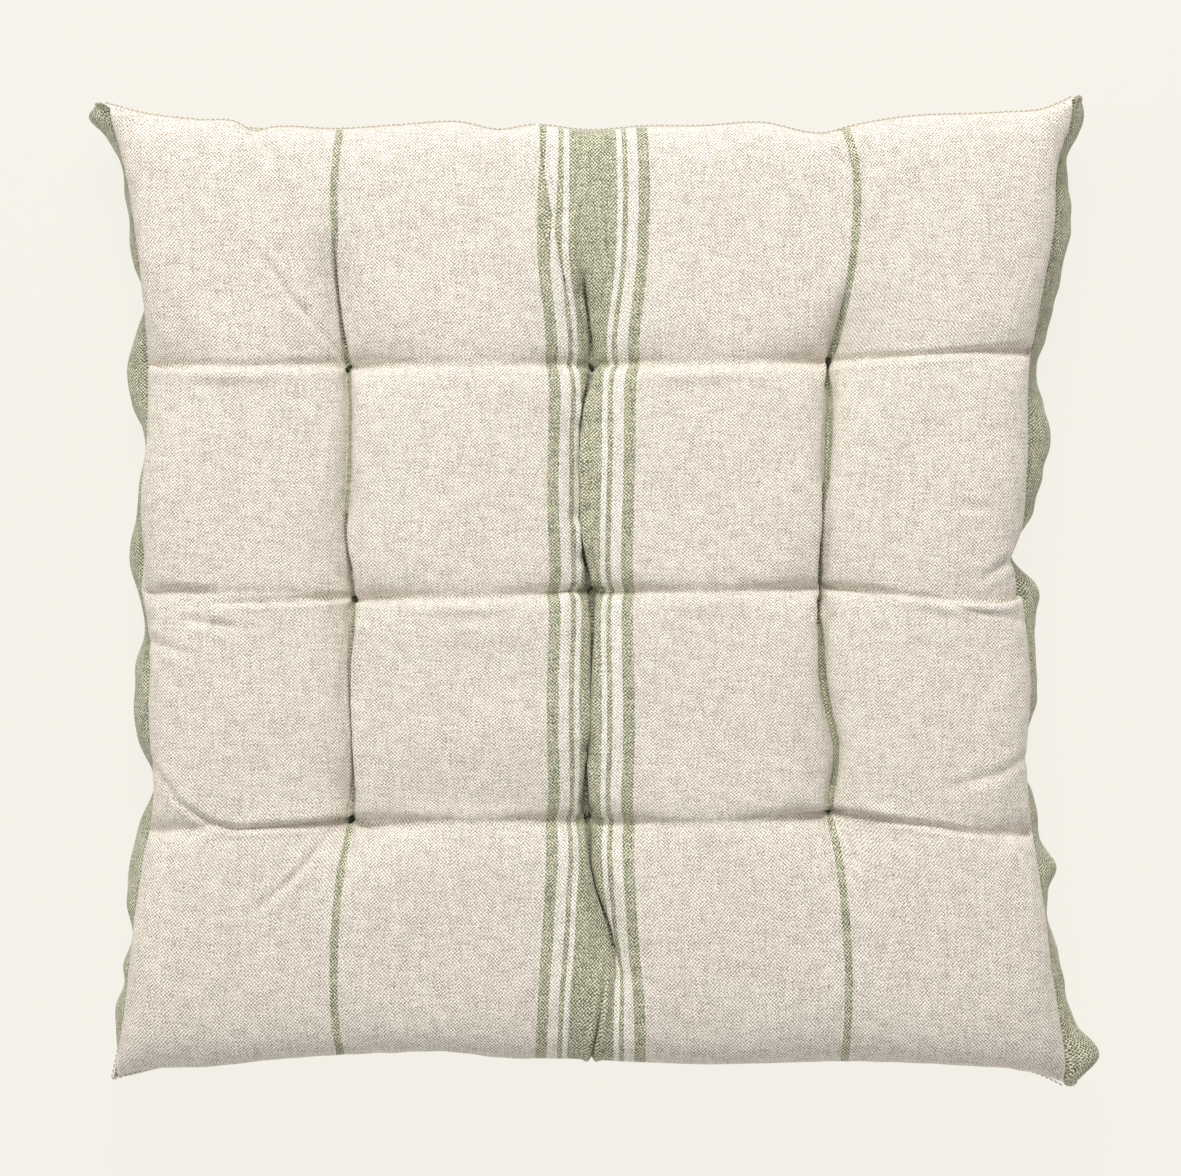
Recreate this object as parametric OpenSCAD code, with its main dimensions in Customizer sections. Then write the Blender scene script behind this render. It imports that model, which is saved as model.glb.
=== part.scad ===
// Square boxed seat pad. Two panels and four side strips are sewn into a case round three layers
// of wadding, and nine ties pull the case together so that it swells into sixteen plump cells.
// Millimetres, +Z up, +Y to the rear. The origin is the middle of the underside.

/* [Case] */
// Distance between the left and right corners of the seams
pad_w = 400; // [399:1:401]
// Distance between the front and rear corners of the seams
pad_d = 402; // [401:1:403]
// Height of the upper crowns above what the pad rests on
pad_h = 56; // [54:1:60]
// Width between the left and right seams, half way along them
waist_w = 364; // [363:1:365]
// Depth between the front and rear seams, half way along them
waist_d = 382; // [381:1:383]
// Thickness of the woven fabric
fabric_t = 1; // [0.8:0.1:1.2]
// Width of the seam allowance that is turned down inside the case
allowance = 9; // [7:1:10]

/* [Side strips] */
// Height of the upper seam at the corners
rim_top = 43.5; // [43.3:0.1:43.6]
// Height of the lower seam at the corners
rim_low = 8.5; // [8.4:0.1:8.7]
// How far the side strips belly out past the seams
bow = 3.2; // [2.4:0.2:4]

/* [Cells and ties] */
// Spacing of the ties from left to right
tie_pitch_x = 98; // [97:1:99]
// Spacing of the ties from front to rear
tie_pitch_y = 93; // [92:1:94]
// How much lower the crowns beside the left and right seams are than the rest
crown_drop = 2.6; // [2.5, 2.6, 2.8]
// How far the lower crowns are pressed flat
press = 4; // [3.5:0.5:4]
// Distance between the two legs of a tie
tie_span = 4; // [3:0.5:5]
// Radius of the tie twine
twine_r = 0.6; // [0.5:0.1:0.7]
// Radius of the knot under each tie
knot_r = 2; // [1.5:0.25:2.25]

/* [Wadding] */
// Thickness of the firm middle layer
core_t = 10; // [8:1:10]

/* [Seams] */
// How far the seam thread stands proud of the fabric
thread_h = 0.6; // [0.4:0.1:0.6]
// Width of the line of seam thread
thread_w = 1.4; // [1:0.2:1.6]

/* [Hidden] */
$fn = 96;
ROWS = ["rear", "middle", "front"];
COLUMNS = ["left", "centre", "right"];
TIES = [for (r = ROWS) for (c = COLUMNS) str("tie_", r, "_", c)];

LINEN = "wheat";
SAGE = "darkseagreen";
FIBRE = "whitesmoke";
THREAD = "beige";
TWINE = "dimgray";

cells = 4;                                 // cells along each side
reach = 212;                               // half size of a block that holds the whole pad
waist_z = (rim_top + rim_low) / 2;         // height at which the side strips belly out most
bow_r = arc_r(rim_top - rim_low, bow);
clear = 0.15;                              // gap round a tie's leg
edge_cell_x = (waist_w / 2 - tie_pitch_x) / 2;  // half width of a cell at the left or right seam
crown_r = (crown_drop + (pow(tie_pitch_x / 2, 2) - pow(edge_cell_x, 2)) / crown_drop) / 2;
tie_drop = crown_r - sqrt(crown_r * crown_r - pow(tie_pitch_x / 2, 2) - pow(tie_pitch_y / 2, 2));
tie_top = pad_h - tie_drop;                // outer surface of the fabric at a tie
tie_low = tie_drop - press;
stitch_rise = 1.2;                         // the cloth beside a tie keeps its stitch this far up
core_low = (tie_top + tie_low - core_t) / 2;
core_top = core_low + core_t;
inner_x = tie_pitch_x + edge_cell_x;       // centre lines of the outer cells
inner_y = tie_pitch_y * 1.5;

// Radius of an arc with this chord and sagitta
function arc_r(chord, sagitta) = (chord * chord / 4 + sagitta * sagitta) / (2 * sagitta);

function at_edge(i) = i == 0 || i == cells - 1;

// Left to right place of the centre of a cell in column i
function centre_x(i) = at_edge(i) ? sign(i - 1) * inner_x : (i - (cells - 1) / 2) * tie_pitch_x;

// Front to rear place of the centre of a cell in row j
function centre_y(j) = (j - (cells - 1) / 2) * tie_pitch_y;

// Radius of the ball in column i, which meets the next column's ball all along their crease
function ball_r(i) = at_edge(i) ? crown_r - crown_drop : crown_r;

// A disc with a hollowed rim, which cuts one side of the pad: concave from above, bellied upright
module side_cutter(r, grow) {
    rotate_extrude($fn = 480)
        difference() {
            translate([0, -30]) square([r + 12, 120]);
            translate([r - bow + bow_r, waist_z]) circle(r = bow_r + grow, $fn = 180);
        }
}

// Everything beyond the left side (s = -1) or the right side (s = 1)
module left_right_cutter(s, grow) {
    r = arc_r(pad_d, (pad_w - waist_w) / 2);
    translate([s * (waist_w / 2 + r), 0, 0]) side_cutter(r, grow);
}

// Everything beyond the front side (s = -1) or the rear side (s = 1)
module front_rear_cutter(s, grow) {
    r = arc_r(pad_w, (pad_d - waist_d) / 2);
    translate([0, s * (waist_d / 2 + r), 0]) side_cutter(r, grow);
}

// The space between the four sides, moved outwards by grow
module outline(grow) {
    difference() {
        translate([-reach, -reach, -5]) cube([2 * reach, 2 * reach, pad_h + 10]);
        for (s = [-1, 1]) {
            left_right_cutter(s, grow);
            front_rear_cutter(s, grow);
        }
    }
}

// One block of space above or below each cell; the outer ones run past the sides
module cell_block(i, j, z, h) {
    x0 = i == 0 ? -reach : (i - cells / 2) * tie_pitch_x;
    x1 = i == cells - 1 ? reach : (i + 1 - cells / 2) * tie_pitch_x;
    y0 = j == 0 ? -reach : (j - cells / 2) * tie_pitch_y;
    y1 = j == cells - 1 ? reach : (j + 1 - cells / 2) * tie_pitch_y;
    translate([x0, y0, z]) cube([x1 - x0, y1 - y0, h]);
}

// The ball whose cap is one cell's crown, with its first meridian towards the middle of the pad
module crown(i, j, z, grow) {
    translate([centre_x(i), centre_y(j), z])
        rotate([0, 0, i < cells / 2 ? 0 : 180])
            sphere(r = ball_r(i) + grow);
}

// A flat band round the outer half of the outer cells, which carries the seams past the corners
module rim_band(z, h) {
    difference() {
        translate([-reach, -reach, z]) cube([2 * reach, 2 * reach, h]);
        translate([-inner_x, -inner_y, z - 1]) cube([2 * inner_x, 2 * inner_y, h + 2]);
    }
}

// Everything under the upper fabric and above the middle of the pad
module upper_half(grow) {
    for (i = [0 : cells - 1])
        for (j = [0 : cells - 1])
            intersection() {
                cell_block(i, j, waist_z, pad_h);
                crown(i, j, pad_h - crown_r, grow);
            }
    rim_band(waist_z, rim_top + grow - waist_z);
}

// Everything above the lower fabric and under the middle of the pad
module lower_half(grow) {
    for (i = [0 : cells - 1])
        for (j = [0 : cells - 1])
            intersection() {
                cell_block(i, j, -grow, waist_z + grow);
                crown(i, j, crown_r - press, grow);
            }
    rim_band(rim_low - grow, waist_z - rim_low + grow);
}

module at_ties() {
    for (i = [-1 : 1])
        for (j = [-1 : 1])
            translate([i * tie_pitch_x, j * tie_pitch_y, 0]) children();
}

// The holes that the twine passes through
module tie_holes() {
    at_ties()
        for (s = [-1, 1])
            translate([s * tie_span / 2, 0, 0])
                cylinder(r = twine_r + clear, h = pad_h, $fn = 24);
}

module slab(z0, z1) {
    translate([-reach, -reach, z0]) cube([2 * reach, 2 * reach, z1 - z0]);
}

module top_panel() {
    color(LINEN)
        difference() {
            intersection() {
                outline(-fabric_t);
                upper_half(0);
            }
            intersection() {
                outline(-2 * fabric_t);
                upper_half(-fabric_t);
            }
            slab(-5, rim_top - fabric_t - allowance);
            tie_holes();
        }
}

module bottom_panel() {
    color(LINEN)
        difference() {
            intersection() {
                outline(-fabric_t);
                lower_half(0);
            }
            intersection() {
                outline(-2 * fabric_t);
                lower_half(-fabric_t);
            }
            slab(rim_low + fabric_t + allowance, pad_h + 5);
            tie_holes();
        }
}

// The swollen pad without its sides
module pad_height() {
    upper_half(0);
    lower_half(0);
}

module left_right_strip(s) {
    color(SAGE)
        intersection() {
            outline(0);
            left_right_cutter(s, -fabric_t);
            pad_height();
        }
}

// The front and rear strips stop at the inner faces of the left and right ones
module front_rear_strip(s) {
    color(LINEN)
        intersection() {
            difference() {
                outline(0);
                left_right_cutter(-1, -fabric_t);
                left_right_cutter(1, -fabric_t);
            }
            front_rear_cutter(s, -fabric_t);
            pad_height();
        }
}

// The line of stitches along a seam, proud of the fabric on both sides of it
module seam_band() {
    middle = fabric_t;
    difference() {
        outline(thread_w / 2 - middle);
        outline(-thread_w / 2 - middle);
    }
}

module top_seam_thread() {
    color(THREAD)
        intersection() {
            difference() {
                upper_half(thread_h);
                upper_half(0);
            }
            seam_band();
        }
}

module bottom_seam_thread() {
    color(THREAD)
        intersection() {
            difference() {
                lower_half(thread_h);
                lower_half(0);
            }
            seam_band();
        }
}

// The stitches that join two side strips at a corner
module corner_seam(sx, sy) {
    color(THREAD)
        intersection() {
            difference() {
                outline(thread_h);
                outline(0);
            }
            rotate([0, 0, atan2(sy * pad_d, sx * pad_w)])
                translate([reach, -thread_w / 2, rim_low + 1])
                    cube([2 * reach, thread_w, rim_top - rim_low - 2]);
        }
}

module wadding(z0, z1) {
    color(FIBRE)
        difference() {
            intersection() {
                outline(-2 * fabric_t);
                union() {
                    upper_half(-fabric_t);
                    lower_half(-fabric_t);
                }
                slab(z0, z1);
            }
            tie_holes();
        }
}

// A rounded rod of twine from left to right
module stitch(z) {
    translate([0, 0, z])
        rotate([0, 90, 0])
            cylinder(r = twine_r, h = tie_span, center = true, $fn = 24);
    for (s = [-1, 1])
        translate([s * tie_span / 2, 0, z]) sphere(r = twine_r, $fn = 24);
}

// Twine down through the pad and back up again, with a stitch above and a knot below
module tie() {
    upper = tie_top + stitch_rise + twine_r;
    lower = tie_low - stitch_rise - twine_r;
    color(TWINE) {
        for (s = [-1, 1])
            translate([s * tie_span / 2, 0, lower])
                cylinder(r = twine_r, h = upper - lower, $fn = 24);
        stitch(upper);
        stitch(lower);
        translate([0, 0, lower - knot_r * 0.8]) sphere(r = knot_r, $fn = 32);
    }
}

top_panel();
bottom_panel();
left_right_strip(-1);  // left_side_strip
left_right_strip(1);  // right_side_strip
front_rear_strip(-1);  // front_side_strip
front_rear_strip(1);  // rear_side_strip
top_seam_thread();
bottom_seam_thread();
corner_seam(-1, -1);  // corner_seam_front_left
corner_seam(1, -1);  // corner_seam_front_right
corner_seam(-1, 1);  // corner_seam_rear_left
corner_seam(1, 1);  // corner_seam_rear_right
wadding(core_top, pad_h + 5);  // upper_wadding
wadding(core_low, core_top);  // core_wadding
wadding(-5, core_low);  // lower_wadding
for (r = [0 : 2])
    for (c = [0 : 2])
        translate([(c - 1) * tie_pitch_x, (1 - r) * tie_pitch_y, 0]) tie();
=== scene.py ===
"""Square boxed seat pad: striped linen panels, sage side strips, wadding and nine tufting ties.

Shapes are worked out in millimetres, in the frame of the CAD model: +X right, +Y to the rear, +Z up.
"""

import math

import bpy
import numpy as np
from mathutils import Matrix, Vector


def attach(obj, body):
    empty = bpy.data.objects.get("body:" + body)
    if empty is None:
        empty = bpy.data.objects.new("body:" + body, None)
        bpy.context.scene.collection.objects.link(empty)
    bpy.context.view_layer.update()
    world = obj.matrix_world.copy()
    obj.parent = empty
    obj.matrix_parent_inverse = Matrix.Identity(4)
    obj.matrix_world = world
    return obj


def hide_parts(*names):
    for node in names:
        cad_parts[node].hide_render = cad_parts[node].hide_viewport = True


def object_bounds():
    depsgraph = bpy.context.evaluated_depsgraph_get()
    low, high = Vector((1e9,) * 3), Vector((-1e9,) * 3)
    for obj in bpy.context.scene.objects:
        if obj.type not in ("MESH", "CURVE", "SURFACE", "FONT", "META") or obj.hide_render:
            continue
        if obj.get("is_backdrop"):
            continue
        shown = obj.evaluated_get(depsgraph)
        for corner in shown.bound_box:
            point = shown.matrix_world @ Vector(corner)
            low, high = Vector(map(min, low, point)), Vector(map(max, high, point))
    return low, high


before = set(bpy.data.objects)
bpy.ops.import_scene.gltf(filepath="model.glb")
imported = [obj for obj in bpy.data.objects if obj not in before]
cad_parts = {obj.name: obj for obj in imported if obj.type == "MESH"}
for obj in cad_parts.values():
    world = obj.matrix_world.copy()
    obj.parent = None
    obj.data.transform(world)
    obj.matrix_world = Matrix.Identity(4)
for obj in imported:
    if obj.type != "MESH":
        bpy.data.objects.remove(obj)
cad_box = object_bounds()

MM = 0.001
SIDES = ("left", "right", "front", "rear")

# The flat panels, before they were sewn and tied. u runs across the stripes and v along them.
HALF_U = 200.0
HALF_V = 203.5
COLUMN_U = 104.5
ROW_V = 99.0

# Heights
TOP_TIE_Z = 40.0
LOW_TIE_Z = 16.0
PAD_H = 56.0
LOW_SEAM_Z = 10.0

# Where each tie holds the top panel: u, v on the flat cloth, then x, y on the pad
TIES = {
    "rear_left": (-COLUMN_U, ROW_V, -99, 92),
    "rear_centre": (-1, ROW_V, 0.7, 92.5),
    "rear_right": (COLUMN_U, ROW_V, 98, 94.5),
    "middle_left": (-COLUMN_U, 0, -96.5, -3),
    "middle_centre": (-1, 0, 0, 1),
    "middle_right": (COLUMN_U, 0, 94, 2.5),
    "front_left": (-COLUMN_U, -ROW_V, -98, -93.5),
    "front_centre": (-1, -ROW_V, -1, -92.5),
    "front_right": (COLUMN_U, -ROW_V, 97.5, -89),
}

# Corners of the top seam
CORNERS = {
    "rear_left": (-199, 200.5),
    "rear_right": (200, 204),
    "front_left": (-196, -200),
    "front_right": (196.5, -203.5),
}

# Edges of the top panel, seen from above: y, x at the sides and x, y at the front and rear
LEFT_EDGE = [
    (-200, -196), (-173, -191), (-145, -188), (-110, -183), (-85, -179), (-52, -181), (-16, -181),
    (2, -185), (16, -183.5), (32, -185), (60, -182), (95, -181.5), (120, -183), (150, -186.5),
    (181, -192.5), (200.5, -199),
]  # fmt: skip
RIGHT_EDGE = [
    (-203.5, 196.5), (-184, 194.5), (-160, 190), (-125, 186), (-95, 181.5), (-70, 179), (-40, 181),
    (-12, 179), (4, 176), (13, 173), (24, 177), (48, 179.5), (92, 180.5), (125, 186), (150, 190.5),
    (180, 193), (190, 197), (204, 200),
]  # fmt: skip
REAR_EDGE = [
    (-199, 200.5), (-184, 196.5), (-160, 193.5), (-145, 192.5), (-138, 189), (-130, 190.5),
    (-105, 190), (-78, 191.5), (-53, 192.5), (-37, 189.5), (-24, 191.5), (0, 189.5), (22, 191),
    (46, 191), (70, 192.5), (98, 188.5), (107, 191), (127, 194.5), (168, 196.5), (188, 198.5),
    (200, 204),
]  # fmt: skip
FRONT_EDGE = [
    (-196, -200), (-180, -196), (-160, -195), (-120, -191), (-100, -190), (-57, -188.5),
    (-37, -191), (0, -192), (34, -194), (86, -194), (115, -193), (148, -194), (188, -199.5),
    (196.5, -203.5),
]  # fmt: skip

# How far out the sage side strips reach, seen from above: y, x
LEFT_BELLY = [
    (-200, -193), (-186, -194.5), (-173, -195.5), (-162, -191.5), (-155, -192.5), (-145, -188),
    (-128, -190.5), (-112, -189), (-95, -185), (-79, -179), (-60, -186), (-35, -187), (-10, -183),
    (2, -186), (15, -189.5), (30, -186), (50, -184), (61, -182), (78, -188.5), (95, -190.5),
    (110, -186), (120, -182.5), (136, -188), (165, -191), (181, -194.5), (190, -200), (197, -206),
    (200.5, -201),
]  # fmt: skip
RIGHT_BELLY = [
    (-203.5, 199), (-195, 210), (-181, 201), (-166, 196), (-150, 193), (-134, 188), (-126, 188.5),
    (-113, 191.5), (-104, 186), (-90, 184), (-70, 178), (-44, 184), (-12, 183.5), (-1, 185.5),
    (4, 184), (14, 174), (32, 182), (52, 187), (68, 190), (78, 187), (92, 184), (108, 188.5),
    (132, 194), (144, 197), (158, 198.5), (168, 198), (180, 196.5), (192, 201.5), (201, 203),
    (204, 201),
]  # fmt: skip

# The folds between the ties: y, x along each, the y range where it is a groove, and the y ranges
# where its two walls touch, each with how deep in the fold they do
FOLDS = {
    "left": (
        [(-195, -102), (-173, -105), (-141, -105), (-121, -103.5), (-93.5, -98), (-30, -98),
         (-3, -96.5), (28, -100), (48, -98.5), (92, -99), (114, -102), (147, -105),
         (175, -104.5), (190, -102.5)],
        (-98, 140),
        [(-86, -14, 2.4), (8, 32, 1.6), (98, 142, 1.4)],
    ),
    "centre": (
        [(-191, 2), (-177, 8), (-161, 12), (-141, 9), (-117, 1.5), (-92.5, -1), (-77, -1.2),
         (-45, 0.6), (-20, 1), (1, 0), (10, -1.5), (25, -3.5), (48, -4), (70, -3.5),
         (92.5, 0.7), (129, -2.5), (190, -2)],
        (-160, 128),
        [(-158, -98, 2.2), (-88, -5, 3.0), (5, 88, 4.2), (96, 130, 2.0)],
    ),
    "right": (
        [(-190, 104), (-162, 105), (-121, 102.5), (-89, 97.5), (-64, 100.5), (-44, 95.5),
         (2.5, 94), (38, 95.5), (66, 97), (94.5, 98), (116, 103), (148, 108), (178, 107.5),
         (191, 103.5)],
        (-94, 116),
        [(4, 44, 1.6), (-14, -3, 1.2), (84, 96, 1.2)],
    ),
}  # fmt: skip

# Where each fold is on the flat cloth, and how much of its path's bend it makes there too
FOLD_U = {"left": -105.4, "centre": -1, "right": 103.4}
FOLD_DRIFT = (0, 0.95, 0)

# The soft creases across the pad, in line with the ties: x, y along each
ROWS = [
    [(-181, -98), (-150, -96), (-98, -93.5), (-48, -95), (-1, -92.5), (50, -94), (97.5, -89),
     (140, -95), (181, -100)],
    [(-181, 0), (-140, -1), (-96.5, -3), (-48, -3.5), (0, 1), (50, -0.5), (94, 2.5), (140, -3),
     (159, -8.5), (177, -11.5)],
    [(-181, 90), (-140, 92), (-99, 92), (-50, 92.5), (0.7, 92.5), (50, 92.5), (98, 94.5),
     (140, 97), (180, 99)],
]  # fmt: skip

# Creases pressed into the cloth: depth, width and x, y along each. A negative depth is a ridge.
CREASES = [
    (1.6, 1.4, [(-97, -2), (-125, -4), (-157, -4.5)]),
    (1.4, 1.6, [(-155, 0), (-174, 2)]),
    (1.5, 2.0, [(-142, -15), (-168, -11)]),
    (1.2, 2.2, [(-162, -27), (-182, -19)]),
    (1.8, 1.5, [(-97, -93), (-121, -95.5), (-145, -97), (-156, -94), (-168, -86), (-180, -68)]),
    (1.1, 1.5, [(94, 2.5), (140, -3), (159, -8.5), (178, -11.5)]),
    (0.9, 2.0, [(150, 35), (164, 34)]),
    (1.4, 2.0, [(160, 5), (174, 14)]),
    (1.6, 1.5, [(97, -89), (121, -93), (143, -96), (172, -101)]),
    (1.2, 2.2, [(146, -80), (169, -74), (181, -66)]),
    (1.4, 1.6, [(98, 94.5), (140, 97), (180, 100)]),
    (2.0, 1.5, [(-100, 94), (-110, 107), (-123, 122), (-136, 140)]),
    (1.3, 1.8, [(-106, -99), (-121, -117), (-138, -131)]),
    (1.1, 1.8, [(102, -96), (110, -112)]),
    (2.0, 1.2, [(-182, 198), (-191, 187)]),
    (2.4, 3.0, [(-140, 190), (-130, 177)]),
    (2.6, 1.6, [(96, 187), (104, 173)]),
    (5.0, 1.0, [(-21, 208), (-20, 190), (-19.5, 178), (-16, 157), (-12, 135), (-9, 122)]),
    (2.2, 1.5, [(184, 199), (189, 193), (194, 186)]),
    (1.3, 1.6, [(37, -148), (40, -160), (43, -180)]),
    (0.7, 2.5, [(30, -172), (44, -182)]),
    (3.4, 1.3, [(6, -156), (4.5, -172), (1, -190), (-1, -206)]),
    (-0.8, 6.0, [(-88, -15), (-50, -15), (-14, -15)]),
    (2.0, 13.0, [(-90, -86), (-50, -86), (-10, -86)]),
    (1.0, 2.0, [(-99, 94), (-140, 92), (-165, 93)]),
]


def smooth(points, at):
    """A smooth curve through (position, value) points, at these positions."""
    xs, ys = np.array(points, float).T
    slope = np.gradient(ys, xs)
    at = np.clip(at, xs[0], xs[-1])
    i = np.clip(np.searchsorted(xs, at) - 1, 0, len(xs) - 2)
    gap = xs[i + 1] - xs[i]
    t = (at - xs[i]) / gap
    start = (1 + 2 * t) * (1 - t) ** 2 * ys[i] + t * (1 - t) ** 2 * gap * slope[i]
    end = t**2 * (3 - 2 * t) * ys[i + 1] + t**2 * (t - 1) * gap * slope[i + 1]
    return start + end


def ramp(x, low, high):
    """0 below low, 1 above high, and smooth in between."""
    t = np.clip((x - low) / (high - low), 0, 1)
    return t * t * (3 - 2 * t)


def ripple(a, b, wavelength, seed, waves=7):
    """Smooth random waves of about this length, from about -1 to 1."""
    rng = np.random.default_rng(seed)
    total = np.zeros(np.broadcast(a, b).shape)
    for _ in range(waves):
        angle, phase = rng.uniform(0, 2 * math.pi, 2)
        k = 2 * math.pi / (wavelength * rng.uniform(0.7, 1.4))
        total += np.sin(k * (a * math.cos(angle) + b * math.sin(angle)) + phase)
    return total / math.sqrt(waves)


def normals(p):
    """Unit normals of a grid of points."""
    n = np.cross(np.gradient(p, axis=0), np.gradient(p, axis=1))
    return n / np.maximum(np.linalg.norm(n, axis=2, keepdims=True), 1e-9)


def resample(p, at, axis):
    """The grid at these places along one axis, counted in cells, by a smooth curve through it."""
    p = np.moveaxis(p, axis, 0)
    i = np.clip(at.astype(int), 0, len(p) - 2)
    f = (at - i).reshape(-1, *[1] * (p.ndim - 1))
    a, b, c, d = (p[np.clip(i + k, 0, len(p) - 1)] for k in (-1, 0, 1, 2))
    q = b + f * (c - a) / 2 + f**2 * (a - 2.5 * b + 2 * c - d / 2) + f**3 * (1.5 * (b - c) + (d - a) / 2)
    return np.moveaxis(q, 0, axis)


def finer(half, count, crowded):
    """Places on the flat cloth from edge to edge, closer together near the crowded ones."""
    even = np.linspace(-half, half, 4001)
    density = 1 + sum(1.7 * np.exp(-(((even - c) / 7) ** 2)) for c in crowded)
    density += 1.2 * (np.abs(even) > half - 5)
    run = np.concatenate([[0], np.cumsum((density[1:] + density[:-1]) / 2)])
    return np.interp(np.linspace(0, run[-1], count), run, even)


# ---- The seams ----


def outward(side):
    """The sign of the way out on one side."""
    return -1 if side in ("left", "front") else 1


def top_seam_z(along, pitch, base):
    """Height of the top seam: pulled down in line with the ties, and level near the corners."""
    return base + 3.5 * np.sin(math.pi * along / pitch) ** 2 + 3 * ramp(np.abs(along), 150, 195)


def stripe_x(u, left, right):
    """Where the cloth at u lies along the front or rear seam."""
    return np.interp(u, [-HALF_U, -COLUMN_U, 0, COLUMN_U, HALF_U], [left, -103, 0.7, 104, right])


def top_seam(side, flat):
    """Points of the top seam on one side, for these places along the flat cloth's edge."""
    share = (flat / np.abs(flat).max() + 1) / 2
    if side in ("left", "right"):
        y0, y1 = CORNERS["front_" + side][1], CORNERS["rear_" + side][1]
        y = y0 + (y1 - y0) * share
        x = smooth(LEFT_EDGE if side == "left" else RIGHT_EDGE, y)
        x -= outward(side) * 1.5 * np.sin(math.pi * np.clip(share, 0, 1))
        return np.stack([x, y, top_seam_z(y, 93, 34.5)], 1)
    x = stripe_x(flat, CORNERS[side + "_left"][0], CORNERS[side + "_right"][0])
    if side == "rear":
        return np.stack([x, smooth(REAR_EDGE, x), top_seam_z(x, 98, 39)], 1)
    y = smooth(FRONT_EDGE, x) + 3.5 * np.sin(math.pi * share)
    return np.stack([x, y, top_seam_z(x, 98, 33)], 1)


def top_edge(side, along):
    """How far out the top panel reaches on one side."""
    edges = {"left": LEFT_EDGE, "right": RIGHT_EDGE, "rear": REAR_EDGE, "front": FRONT_EDGE}
    return smooth(edges[side], along)


def low_arc(side, along):
    """The bottom seam seen from above: an even arc that draws in between its corners."""
    sag = 1 - (along / 199) ** 2
    arc = 196 - 22 * sag if side in ("left", "right") else 199 - 13 * sag
    return outward(side) * arc


def low_edge(side, along):
    """How far out the bottom panel reaches on one side."""
    return low_arc(side, along) + 2.5 * outward(side)


def low_seam(side, flat):
    """Points of the bottom seam on one side, for these places along the flat cloth's edge."""
    share = flat / np.abs(flat).max()
    z = LOW_SEAM_Z - 1.5 * np.sin(math.pi * share * 2) ** 2
    if side in ("left", "right"):
        return np.stack([low_arc(side, 199 * share), 199 * share, z], 1)
    x = stripe_x(flat, -196, 196)
    return np.stack([x, low_arc(side, x * 199 / 196), z], 1)


# ---- Cloth that is held at its edges and ties, and blown up by the wadding behind it ----

# How hard the wadding pushes, and how many rows of points along a seam stay inside the outline
PUSH = 0.16
EDGE_ROWS = 14


def pull(p, w, a, b, rest, stretch, squeeze):
    """Moves the points p[a] and p[b] towards their rest distance."""
    d = p[b] - p[a]
    length = np.maximum(np.sqrt((d * d).sum(-1)), 1e-9)
    k = np.where(length > rest, stretch, squeeze) * (length - rest) / length
    share = k / np.maximum(w[a] + w[b], 1e-9)
    p[a] += d * (share * w[a])[..., None]
    p[b] -= d * (share * w[b])[..., None]


def pairs(p, step, axis):
    """Slices of the points that are step apart along an axis, in batches."""
    n = p.shape[axis]
    for s in range(2 * step if step > 1 else 2):
        stride = 2 * step
        count = len(range(s, n - step, stride))
        a = slice(s, s + stride * count, stride)
        b = slice(s + step, s + step + stride * count, stride)
        every = slice(None)
        yield ((a, every), (b, every)) if axis == 0 else ((every, a), (every, b))


def diagonals(p):
    """Slices of the points at the two ends of each cell's diagonals, in batches."""
    n = p.shape[0]
    for s in (0, 1):
        count = len(range(s, n - 1, 2))
        lo, hi = slice(s, s + 2 * count, 2), slice(s + 1, s + 1 + 2 * count, 2)
        yield (lo, slice(None, -1)), (hi, slice(1, None))
        yield (lo, slice(1, None)), (hi, slice(None, -1))


def within(y, low, high, soft):
    """1 between low and high and 0 outside, with soft ends."""
    return ramp(y, low - soft, low + soft) * (1 - ramp(y, high - soft, high + soft))


def press_fold(p, free, u, y, fold, tie_u, drift, spec, step):
    """Holds the cloth of one fold in place: its line, its depth, and walls that touch."""
    path, groove, closed = fold
    x = smooth(path, y)
    straight = np.interp(y, [-92, 0, 92], smooth(path, np.array([-92, 0, 92])))
    off = u[:, None] - tie_u - drift * (x - straight)
    line = np.abs(off) < 0.6 * step
    near = np.abs(off) < 2.6 * step
    held = p[..., 0] + 0.2 * (x + 0.8 * off - p[..., 0]) * (near * 0.5 + line)
    p[..., 0] = np.where(free & near, held, p[..., 0])
    shut = sum((within(y, low, high, 6) for low, high, _ in closed), 0 * y)
    depth = sum((within(y, low, high, 6) * deep for low, high, deep in closed), 0 * y)
    wall = x + np.sign(off) * spec["gap"]
    p[..., 0] = np.where(free & (np.abs(off) < depth), p[..., 0] + 0.35 * (wall - p[..., 0]), p[..., 0])
    apart = 30 * (1 - np.clip(shut, 0, 1))
    p[..., 0] = np.where(free & (off < 0), np.minimum(p[..., 0], wall + apart), p[..., 0])
    p[..., 0] = np.where(free & (off > 0), np.maximum(p[..., 0], wall - apart), p[..., 0])
    low, high = groove
    top = spec["tie_z"] + spec["fold_rise"] * np.abs(np.sin(math.pi * y / 92.5))
    top += 14 * (1 - within(y, low, high, 20)) + 30 * (1 - within(y, low - 20, high + 20, 4))
    p[..., 2] = np.where(free & line, np.minimum(p[..., 2], top), p[..., 2])


def press_row(p, free, v, x, path, row_v, spec, step):
    """Holds the cloth of one row's crease at its depth."""
    off = v[None] - row_v
    line = free & (np.abs(off) < 0.6 * step)
    y = smooth(path, x)
    p[..., 1] = np.where(line, p[..., 1] + 0.15 * (y + off - p[..., 1]), p[..., 1])
    span = np.where(np.abs(x) < 98, 98, 82)
    top = spec["tie_z"] + spec["row_rise"] * np.abs(np.sin(math.pi * (np.abs(x) - 98) / span)) ** 0.6
    p[..., 2] = np.where(line, np.minimum(p[..., 2], top), p[..., 2])


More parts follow.
